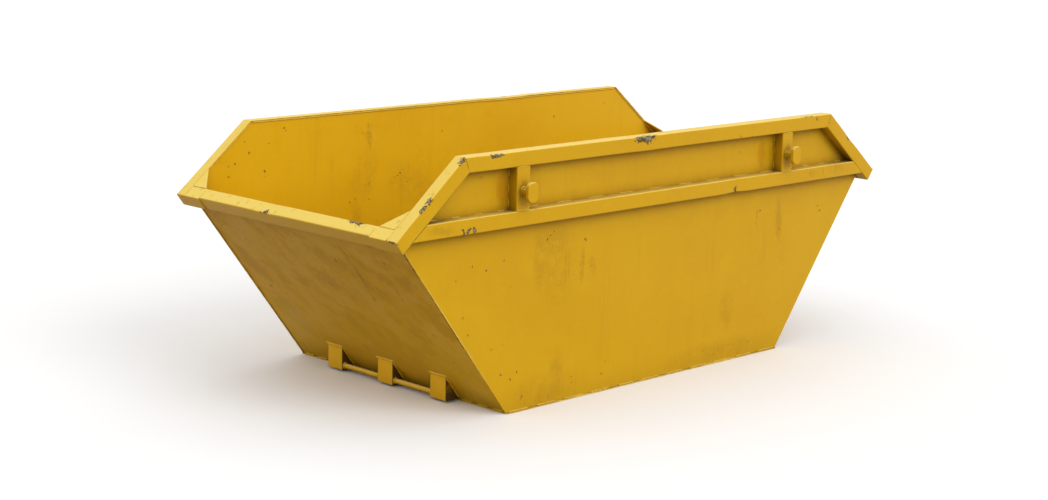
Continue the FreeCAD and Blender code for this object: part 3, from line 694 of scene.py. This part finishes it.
# Pits of rust, by the face that they are on: x and z of each
OUTSIDE_Y = -0.735
FAR_INSIDE_Y = 0.732
SIDE_SPECKS = (
    (OUTSIDE_Y, (
        (-1.181, 0.704), (-1.096, 0.676), (-0.988, 0.707), (-1.278, 0.653), (-1.235, 0.482), (-1.205, 0.401),
        (-1.059, 0.314), (-0.941, 0.157), (-0.880, 0.200), (-0.679, 0.804), (-0.700, 0.787), (-0.720, 0.771),
        (0.622, 1.052), (1.274, 0.713), (1.292, 0.686), (0.772, 0.735),
    )),
    (FAR_INSIDE_Y, (
        (-1.199, 0.952), (-1.197, 0.946), (-1.195, 0.919), (1.131, 1.188), (1.105, 1.190), (-1.078, 1.149),
        (-1.068, 1.136), (-1.314, 1.100), (-1.290, 1.044), (-1.172, 1.081), (-1.410, 0.990), (-1.373, 0.999),
        (-1.411, 0.939), (-0.365, 0.839), (-0.350, 0.848), (-0.331, 0.858), (-0.283, 0.807), (-0.539, 0.822),
        (-0.667, 0.738), (-0.631, 0.754), (-0.539, 0.742), (0.790, 1.066), (-0.042, 1.052),
    )),
    (OUTSIDE_Y, (
        (-0.988, 0.323), (-1.001, 0.188), (-0.900, 0.184), (-0.544, 0.102), (-0.343, 0.083), (-0.312, 0.142),
        (-0.693, 0.034), (0.747, 0.067), (-0.543, 0.076),
    )),
)
# Thin scratches in the paint of the far side's inside, each a broken line: x and z
SCRIBBLES = (
    ((-0.547, 1.140), (-0.545, 1.101), (-0.532, 1.065), (-0.542, 1.038)),
    ((-0.542, 1.038), (-0.529, 1.014), (-0.534, 0.985)),
    ((-0.595, 1.117), (-0.589, 1.093), (-0.568, 1.076), (-0.543, 1.089)),
)
# No two specks are alike: their lengths, widths and leans follow waves along the list
SPECK_LENGTH = 0.004
SPECK_WIDTH = 0.0040
SPECK_UNEVEN = 0.0016
SPECK_WAVES = (2.3, 1.7, 1.9)
SCRIBBLE_WIDTH = 0.0015
side_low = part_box("side_plate_front")[0]
mid_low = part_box("mid_rail_front")[0]
speck_marks = []
spots = [Vector((x, y, z)) for y, places in SIDE_SPECKS for x, z in places]
for number, spot in enumerate(spots):
    across, up, wide = (number * wave for wave in SPECK_WAVES)
    lean = Vector((math.sin(across), 0, math.cos(up))) * SPECK_LENGTH
    speck_marks.append((spot - lean, spot + lean, SPECK_WIDTH + SPECK_UNEVEN * math.sin(wide)))
for places in SCRIBBLES:
    bends = [Vector((x, FAR_INSIDE_Y, z)) for x, z in places]
    speck_marks.extend((start, finish, SCRIBBLE_WIDTH) for start, finish in zip(bends, bends[1:]))


def side_bulge(point):
    """Slack in a side sheet below its lower rail, none at its welded edges."""
    up = (point.z - side_low.z) / (mid_low.z - side_low.z)
    reach = END_FOOT + END_SLOPE * point.z
    along = (point.x + reach) / (2 * reach)
    if not (0 < up < 1 and 0 < along < 1):
        return Vector((0, 0, 0))
    slack = math.sin(math.pi * up) * min(1, SIDE_RISE * math.sin(math.pi * along))
    along_wave, up_wave, apart = SIDE_WAVES
    wave = noise.noise(Vector((point.x * along_wave, point.z * up_wave, math.copysign(apart, point.y))))
    return Vector((0, SIDE_BULGE * slack * wave, 0))


def everywhere(marks):
    """Marks given for the back right quarter, in all four."""
    return [
        (quarter(x_way, y_way, start), quarter(x_way, y_way, finish), width)
        for x_way in ENDS.values() for y_way in SIDES.values() for start, finish, width in marks
    ]


side_enamel = enamel(
    "side_enamel", inside=INSIDE_YELLOW_LIGHTENED, runs=0.10, specks=0.10, rub_and_highlight=0.95, stains=SIDE_STAINS, films=SIDE_FILMS,
    blushes=SIDE_BLUSHES, scratches=speck_marks, rubs_and_highlights=everywhere(EDGE_RUBS_AND_HIGHLIGHTS), through=Vector((0, 1, 0)),
)
for side in SIDES:
    worn(f"side_plate_{side}", side_enamel, across="xz", bulge=side_bulge)

# The rim round the mouth: box section along each end, folded corner pieces that carry it to the raked
# rails, and a flush gusset in each inner corner. Their sloping tops are chalked pale by the sun.
RIM_CHIPS = (
    ((-1.661, 0.100, 0.886), (-1.661, 0.140, 0.886), 0.018),
    ((-1.622, -0.540, 0.915), (-1.618, -0.410, 0.915), 0.016),
    ((-1.668, -0.728, 0.877), (-1.668, -0.786, 0.874), 0.018),
    ((1.657, 0.280, 0.886), (1.657, 0.360, 0.886), 0.028),
    ((1.668, -0.590, 0.876), (1.668, -0.530, 0.876), 0.020),
    ((1.622, -0.150, 0.915), (1.620, -0.060, 0.915), 0.016),
)
rim_enamel = enamel("rim_enamel", specks=0.12, rub_and_highlight=0.55, chips=RIM_CHIPS, chalk=0.95)
for end in ENDS:
    worn(f"end_rim_{end}", rim_enamel, rounding=0.0006, across="y")
    for side in SIDES:
        worn(f"rim_corner_{side}_{end}", rim_enamel, rounding=0.0008, across="y")
        worn(f"corner_gusset_{side}_{end}", rim_enamel, rounding=0.0008)

# Pressed channel rails: along the top with a lip over the sheet, down the raked corners from a mitre,
# and a third along the side below the lugs. Their edges take the knocks of loading.
RAIL_CHIPS = (
    ((-1.125, -0.790, 1.194), (-1.065, -0.790, 1.190), 0.017),
    ((-0.205, -0.788, 1.190), (-0.150, -0.788, 1.190), 0.018),
    ((-0.145, -0.788, 1.188), (-0.088, -0.788, 1.190), 0.027),
    ((-1.303, -0.786, 1.186), (-1.290, -0.788, 1.196), 0.018),
    ((-1.525, -0.784, 0.994), (-1.512, -0.784, 1.005), 0.017),
    ((-1.487, -0.782, 1.028), (-1.474, -0.782, 1.039), 0.018),
    ((-1.288, -0.790, 0.884), (-1.282, -0.790, 0.870), 0.011),
    ((-1.262, -0.790, 0.872), (-1.250, -0.790, 0.886), 0.009),
    ((-1.225, -0.790, 0.884), (-1.215, -0.790, 0.872), 0.012),
    ((0.523, -0.790, 0.870), (0.540, -0.790, 0.888), 0.012),
    ((1.436, -0.788, 1.072), (1.454, -0.788, 1.058), 0.020),
    ((1.158, -0.790, 1.192), (1.162, -0.790, 1.182), 0.008),
    ((1.010, -0.789, 1.199), (1.190, -0.789, 1.199), 0.005),
    ((0.555, -0.790, 1.143), (0.560, -0.790, 1.136), 0.006),
    ((0.640, -0.790, 1.137), (0.655, -0.790, 1.135), 0.008),
    ((0.380, 0.789, 1.192), (0.480, 0.789, 1.192), 0.022),
    ((-0.760, 0.790, 0.872), (-0.690, 0.790, 0.872), 0.014),
    ((1.370, 0.786, 1.122), (1.392, 0.786, 1.106), 0.018),
    ((-1.662, -0.789, 0.878), (-1.656, -0.789, 0.866), 0.011),
)
RAIL_STAINS = (
    ((1.120, -0.790, 0.905), (1.200, -0.790, 0.900), 0.030),
    ((1.300, -0.790, 0.925), (1.400, -0.790, 0.915), 0.022),
    ((-1.480, -0.790, 0.900), (-1.350, -0.790, 0.890), 0.030),
    ((0.300, 0.790, 0.900), (0.600, 0.790, 0.900), 0.040),
)
RAIL_FILMS = (
    ((1.150, -0.790, 0.905), (1.440, -0.790, 0.905), 0.055),
    ((-0.200, 0.790, 0.900), (0.200, 0.790, 0.900), 0.055),
)
# The mitre's seam, and the joint under the lip, along the top and down the rake, where dirt gathers
RAIL_SEAMS = (
    ((1.2800, 0.7905, 1.1970), (1.2565, 0.7905, 1.1320), 0.0024),
    ((0, 0.7260, 1.1964), (1.2790, 0.7260, 1.1964), 0.0019),
    ((1.2790, 0.7260, 1.1964), (1.6100, 0.7260, 0.9207), 0.0019),
)
rail_enamel = enamel(
    "rail_enamel", specks=0.10, rub_and_highlight=0.45, chips=RAIL_CHIPS, scratches=everywhere(RAIL_SEAMS), stains=RAIL_STAINS,
    films=RAIL_FILMS,
)
for side in SIDES:
    worn(f"top_rail_{side}", rail_enamel, rounding=0.0008, across="x")
    worn(f"mid_rail_{side}", rail_enamel, rounding=0.0008, across="x")
    for end in ENDS:
        worn(f"rake_rail_{side}_{end}", rail_enamel, rounding=0.0008, across="x")

# Lifting lugs: a channel post between the rails, a round stub through it and a thick keeper plate on
# the stub's end. The chains rub the paint, and rust runs from the welds.
LUG_X = 0.930
LUG_Z = 1.020
POST_FACE = 0.790
# Blushes near each stub, measured from where its middle meets the post's face
LUG_BLUSHES = (
    ((0, 0, 0.035), (0.010, 0, 0.035), 0.020),
    ((0.022, 0, -0.045), (0.022, 0, -0.065), 0.018),
)
lug_blushes = []
for x_way in ENDS.values():
    for y_way in SIDES.values():
        stub = quarter(x_way, y_way, (LUG_X, POST_FACE, LUG_Z))
        lug_blushes.extend((stub + Vector(a), stub + Vector(b), width) for a, b, width in LUG_BLUSHES)
lug_enamel = enamel("lug_enamel", grime_and_shade=1.2, specks=0.14, rub_and_highlight=0.8, blushes=lug_blushes)
for side in SIDES:
    for end in ENDS:
        worn(f"lug_post_{side}_{end}", lug_enamel, rounding=0.0008, across="z")
        worn(f"lug_pin_{side}_{end}", lug_enamel, rounding=0.0010, spacing=0.03, across="y")
        worn(f"lug_head_{side}_{end}", lug_enamel, rounding=0.0012, spacing=0.03, across="xz")

# Tipping gear at the foot of each end: three folded straps and a round bar that the lorry's hooks
# catch when it tips the skip. Always near the ground, so dusty and dirty. Its yellow is paler than the
# sides': painted light that makes up for the shade under the leaning end, and its webs take painted shade.
TIPPING_PAINT_LIGHTENED = (0.890, 0.478, 0.010)
STRAPS = ("front", "middle", "back")
tipping_enamel = enamel("tipping_enamel", paint=TIPPING_PAINT_LIGHTENED, grime_and_shade=0.8, specks=0.20, rub_and_highlight=0.55, flank_shade=0.9)
for end in ENDS:
    worn(f"tipping_bar_{end}", tipping_enamel, rounding=0.0015, across="y")
    for where in STRAPS:
        worn(f"tipping_bracket_{end}_{where}", tipping_enamel, rounding=0.0010, across="yz")

# Weld beads: stick welds laid in the corners where the pieces meet, painted over with the rest. Each
# is a run of overlapping ripples. Long seams outside are stitched, and those inside run through.
RIPPLE = 0.0045
BEAD_SIDES = 8
BEAD_WIDTH = 0.0075
THIN_BEAD = 0.0050
# A bead's girth and how it varies, and how far its middle strays, as shares of its width
GIRTH = 0.43
GIRTH_RIPPLE = 0.11
GIRTH_NOISE = 0.15
GIRTH_GRAIN = 70
SHAKE = 0.14
SHAKE_GRAIN = 45
SHAKE_SEED = 5
TIP_SHARE = 0.75
LEAST_ROUND = 12
# Upright corners: how far up the slope they run, how far off the sheet, and y
CORNER_RANGE = (0.020, 1.000)
CORNER_OFF = 0.0018
CORNER_Y = 0.7308
CORNER_STITCH = (0.090, 0.045)
INNER_CORNER_RANGE = (0.014, 1.050)
INNER_CORNER_OFF = -END_THICKNESS - 0.0015
INNER_CORNER_Y = 0.7305
# Foot of the end: up the slope and off the sheet, between the straps and past them
END_FOOT_PLACE = (0.0095, 0.0015)
END_FOOT_RANGES = ((-0.72, -0.44), (-0.31, -0.065), (0.065, 0.31), (0.44, 0.72))
END_FOOT_STITCH = (0.080, 0.030)
INNER_END_FOOT = (0.9520, 0.728, 0.0068)
SIDE_FOOT = (0.950, 0.7368, 0.0066)
SIDE_FOOT_STITCH = (0.130, 0.050)
INNER_SIDE_FOOT = (0.950, 0.7303, 0.0068)
# without a seed the clock would choose how the beads stray
noise.seed_set(SHAKE_SEED)
weld_enamel = enamel("weld_enamel", grime_and_shade=0.7, specks=0.50, rub_and_highlight=0.55, chalk=0.7)


def bead(shape, path, width=BEAD_WIDTH):
    """Adds one weld run along a path: a sheet rolled into a tube, whose girth ripples ring by ring."""
    rings = []
    for start, finish in zip(path, path[1:]):
        leg = finish - start
        turn = leg.to_track_quat("Z", "Y").to_matrix()
        count = max(2, round(leg.length / RIPPLE))
        rings.extend((start + leg * number / count, turn) for number in range(count))
    rings.append((path[-1], turn))
    last = len(rings) - 1
    sheet = bmesh.ops.create_grid(shape, x_segments=last, y_segments=BEAD_SIDES, size=0.5)["verts"]
    sections = []
    for number, (centre, turn) in enumerate(rings):
        girth = 0.0
        if 0 < number < last:
            girth = GIRTH + GIRTH_RIPPLE * (number % 2) + GIRTH_NOISE * noise.noise(centre * GIRTH_GRAIN)
        if number in (1, last - 1):
            girth *= TIP_SHARE
        shaken = knocked(centre + noise.noise_vector(centre * SHAKE_GRAIN) * width * SHAKE)
        sections.append((shaken, turn, girth * width))
    for vert in sheet:
        centre, turn, radius = sections[round((vert.co.x + 0.5) * last)]
        angle = 2 * math.pi * (vert.co.y + 0.5)
        vert.co = centre + turn @ Vector((math.cos(angle), math.sin(angle), 0)) * radius


def stitches(shape, start, finish, run, gap, width=BEAD_WIDTH):
    """Adds weld runs with gaps between them, evenly along a seam."""
    along = finish - start
    count = max(1, round((along.length + gap) / (run + gap)))
    pitch = (along.length + gap) / count
    for number in range(count):
        first = start + along.normalized() * pitch * number
        bead(shape, (first, first + along.normalized() * (pitch - gap)), width)


def round_bead(shape, centre, axis, radius, width=THIN_BEAD):
    """Adds a weld round a bar."""
    turn = axis.to_track_quat("Z", "Y").to_matrix()
    steps = max(LEAST_ROUND, round(2 * math.pi * radius / RIPPLE))
    around = [2 * math.pi * number / steps for number in range(steps + 1)]
    bead(shape, [centre + turn @ Vector((radius * math.cos(a), radius * math.sin(a), 0)) for a in around], width)


def show_welds(shape, name, material=weld_enamel):
    """Makes a piece of the weld runs in a shape, with their seams and tips closed."""
    bmesh.ops.remove_doubles(shape, verts=shape.verts, dist=SMALLEST)
    bmesh.ops.recalc_face_normals(shape, faces=shape.faces)
    show(shape, name, material)


outer_welds = bmesh.new()
inner_welds = bmesh.new()
for end, x_way in ENDS.items():
    for y_way in SIDES.values():
        # upright corners: stitched outside below the rim, run through inside
        seam = (on_end(end, up, CORNER_OFF, y_way * CORNER_Y) for up in CORNER_RANGE)
        stitches(outer_welds, *seam, *CORNER_STITCH)
        bead(inner_welds, [on_end(end, up, INNER_CORNER_OFF, y_way * INNER_CORNER_Y) for up in INNER_CORNER_RANGE])
    # foot of the end: stitched outside between the straps, run through inside
    for seam in END_FOOT_RANGES:
        stitches(outer_welds, *(on_end(end, *END_FOOT_PLACE, y) for y in seam), *END_FOOT_STITCH)
    bead(inner_welds, [quarter(x_way, y_way, INNER_END_FOOT) for y_way in SIDES.values()])
for y_way in SIDES.values():
    # foot of the side on the floor's lip, and the same inside
    stitches(outer_welds, *(quarter(x_way, y_way, SIDE_FOOT) for x_way in ENDS.values()), *SIDE_FOOT_STITCH)
    bead(inner_welds, [quarter(x_way, y_way, INNER_SIDE_FOOT) for x_way in ENDS.values()])
show_welds(outer_welds, "plate_welds_outside")
show_welds(inner_welds, "plate_welds_inside", floor_enamel)

# Welds of the frame: under the rails' lips inside, at the posts, across the rim's corners, and round
# the gussets, where they are low and thin. Places are given for the back right quarter.
# a paler yellow for the welds under the lips: painted light
LIP_WELD_PAINT_LIGHTENED = (0.800, 0.510, 0.040)
LIP_SEAM = (1.268, 0.7303, 1.1915)
RAKE_TOP = (1.281, 0.7303, 1.200)
RAKE_FOOT = (1.6662, 0.7303, 0.8792)
RAKE_SEAM_UNDER = 0.0068
RAKE_SEAM_START = 0.015
RAKE_SEAM_LENGTH = 0.440
SHEET_Y = 0.7365
# Seams on the side's outside: where they end in x, their height, and their runs and gaps
PANEL_SEAMS = (
    (-0.880, 0.880, 0.9345, 0.090, 0.110),
    (-1.230, 1.230, 1.1290, 0.080, 0.120),
    (-1.540, 1.540, 0.8620, 0.080, 0.120),
)
RAKE_PANEL_SEAM = ((0.990, SHEET_Y, 0.9345), (1.450, SHEET_Y, 0.9345))
RAKE_PANEL_STITCH = (0.070, 0.080)
POST_SEAM_RANGE = (-0.036, 0.036)
POST_SEAM_Y = POST_FACE - 0.0005
POST_SEAM_HEIGHTS = (0.9338, 1.1292)
FLANGES = (-0.0412, 0.0412)
FLANGE_RANGE = (0.945, 1.120)
FLANGE_STITCH = (0.050, 0.030)
# Round the stub: y, the ring's radius and the bead's width
STUB_WELDS = ((POST_FACE + 0.002, 0.0195, 0.0085), (0.8330, 0.0190, THIN_BEAD))
# The gusset on the rim and on the rake, the rim's step to the corner piece, and that to the rake's foot
CORNER_SEAMS = (
    ((1.6188, 0.7200, 0.9186), (1.6188, 0.6250, 0.9186)),
    ((1.5320, 0.7262, 0.9905), (1.6170, 0.7262, 0.9196)),
    ((1.6200, 0.6122, 0.9160), (1.6618, 0.6122, 0.8820), (1.6640, 0.6122, 0.8770), (1.6270, 0.6122, 0.8275)),
    ((1.6225, 0.7258, 0.9150), (1.6650, 0.7258, 0.8790)),
)
frame_welds = bmesh.new()
lip_welds = bmesh.new()
for y_way in SIDES.values():
    bead(lip_welds, [quarter(x_way, y_way, LIP_SEAM) for x_way in ENDS.values()])
    for x_way in ENDS.values():
        rake_top = quarter(x_way, y_way, RAKE_TOP)
        rake_way = (quarter(x_way, y_way, RAKE_FOOT) - rake_top).normalized()
        under = Vector((x_way * rake_way.z, 0, -abs(rake_way.x))) * RAKE_SEAM_UNDER
        start = rake_top + under + rake_way * RAKE_SEAM_START
        bead(lip_welds, (start, start + rake_way * RAKE_SEAM_LENGTH))
        # the sheet's outside between the rails
        seam = (quarter(x_way, y_way, place) for place in RAKE_PANEL_SEAM)
        stitches(frame_welds, *seam, *RAKE_PANEL_STITCH, THIN_BEAD)
        # post: top and bottom across its face, and its two flanges on the sheet
        x = x_way * LUG_X
        for z in POST_SEAM_HEIGHTS:
            bead(frame_welds, [Vector((x + off, y_way * POST_SEAM_Y, z)) for off in POST_SEAM_RANGE], THIN_BEAD)
        for off in FLANGES:
            seam = (Vector((x + off, y_way * SHEET_Y, z)) for z in FLANGE_RANGE)
            stitches(frame_welds, *seam, *FLANGE_STITCH, THIN_BEAD)
        for y, radius, width in STUB_WELDS:
            round_bead(frame_welds, Vector((x, y_way * y, LUG_Z)), Vector((0, y_way, 0)), radius, width)
        for seam in CORNER_SEAMS:
            bead(frame_welds, [quarter(x_way, y_way, place) for place in seam], THIN_BEAD)
    for left, right, z, run, gap in PANEL_SEAMS:
        seam = (Vector((x, y_way * SHEET_Y, z)) for x in (left, right))
        stitches(frame_welds, *seam, run, gap, THIN_BEAD)
# The welds under the lips are a paler yellow with almost no grime: painted light, a pale line where the lip shades
# them
lightened_inside_weld_enamel = enamel("lightened_inside_weld_enamel", paint=LIP_WELD_PAINT_LIGHTENED, grime_and_shade=0.05, specks=0.2, rub_and_highlight=0.9)
show_welds(lip_welds, "rail_welds_inside", lightened_inside_weld_enamel)
show_welds(frame_welds, "rail_welds_outside")

# Welds of the tipping gear: a thick run over the head of each strap that reaches past it on both
# sides, a run down each web's foot, and a ring round the bar at each web.
HEAD_ABOVE = 0.0025
HEAD_OFF = 0.0015
HEAD_REACH = 0.011
HEAD_WIDTH = 0.0110
WEB_BESIDE = 0.0012
WEB_OFF = 0.0014
WEB_LOW = 0.018
WEB_BELOW_HEAD = 0.006
BAR_RING = (0.0138, 0.0065)
gear_welds = bmesh.new()
straps = {where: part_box(f"tipping_bracket_right_{where}") for where in STRAPS}
for end in ENDS:
    for strap_low, strap_high in straps.values():
        head = strap_high.z / math.cos(end_lean)
        across = (strap_low.y - HEAD_REACH, strap_high.y + HEAD_REACH)
        bead(gear_welds, [on_end(end, head + HEAD_ABOVE, HEAD_OFF, y) for y in across], HEAD_WIDTH)
        for y in (strap_low.y - WEB_BESIDE, strap_high.y + WEB_BESIDE):
            bead(gear_welds, [on_end(end, up, WEB_OFF, y) for up in (WEB_LOW, head - WEB_BELOW_HEAD)])
    bar_low, bar_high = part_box(f"tipping_bar_{end}")
    bar_middle = (bar_low + bar_high) / 2
    for y in (straps["front"][1].y, straps["middle"][0].y, straps["middle"][1].y, straps["back"][0].y):
        round_bead(gear_welds, Vector((bar_middle.x, y, bar_middle.z)), Vector((0, 1, 0)), *BAR_RING)
gear_weld_enamel = enamel("gear_weld_enamel", paint=TIPPING_PAINT_LIGHTENED, grime_and_shade=0.4, specks=0.35, rub_and_highlight=1.0)
show_welds(gear_welds, "tipping_gear_welds", gear_weld_enamel)

# The studio: a pale floor under the skip, a white surround, and one large soft lamp low over the
# front. To the camera the floor is near white, and the light it throws back is that of plain ground.
FLOOR_SIZE = 160.0
FLOOR_DROP = 0.0006
FLOOR_SEEN = (0.92, 0.92, 0.92)
FLOOR_BOUNCE = (0.32, 0.29, 0.23)
KEY_FROM = Vector((0.10, -1.0, 0.62))
KEY_STRENGTH = 1.05
KEY_SPREAD = math.radians(40)
floor_shape = bmesh.new()
bmesh.ops.create_grid(
    floor_shape, x_segments=1, y_segments=1, size=FLOOR_SIZE / 2, matrix=Matrix.Translation((0, 0, -FLOOR_DROP))
)
floor_mesh = bpy.data.meshes.new("studio_floor")
floor_shape.to_mesh(floor_mesh)
floor_shape.free()
studio_floor = bpy.data.objects.new("studio_floor", floor_mesh)
bpy.context.scene.collection.objects.link(studio_floor)

floor_paint = bpy.data.materials.new("studio_floor_paint")
floor_paint.use_nodes = True
floor_tree = floor_paint.node_tree
floor_shader = floor_tree.nodes["Principled BSDF"]
ray = floor_tree.nodes.new("ShaderNodeLightPath").outputs
seen = plain_maths(floor_tree, "MAXIMUM", ray["Is Camera Ray"], ray["Is Glossy Ray"])
seen = plain_maths(floor_tree, "MAXIMUM", seen, ray["Is Transmission Ray"])
floor_tree.links.new(over(floor_tree, seen, FLOOR_BOUNCE, FLOOR_SEEN), floor_shader.inputs["Base Color"])
floor_shader.inputs["Roughness"].default_value = 1.0
floor_shader.inputs["Specular IOR Level"].default_value = 0.0
floor_mesh.materials.append(floor_paint)

world = bpy.data.worlds.new("studio")
world.use_nodes = True
world.node_tree.nodes["Background"].inputs["Color"].default_value = (1, 1, 1, 1)
bpy.context.scene.world = world

key = bpy.data.lights.new("key", "SUN")
key.energy = KEY_STRENGTH
key.angle = KEY_SPREAD
key_holder = bpy.data.objects.new("key", key)
key_holder.matrix_world = KEY_FROM.to_track_quat("Z", "Y").to_matrix().to_4x4()
bpy.context.scene.collection.objects.link(key_holder)

bpy.context.scene.view_settings.view_transform = "Standard"
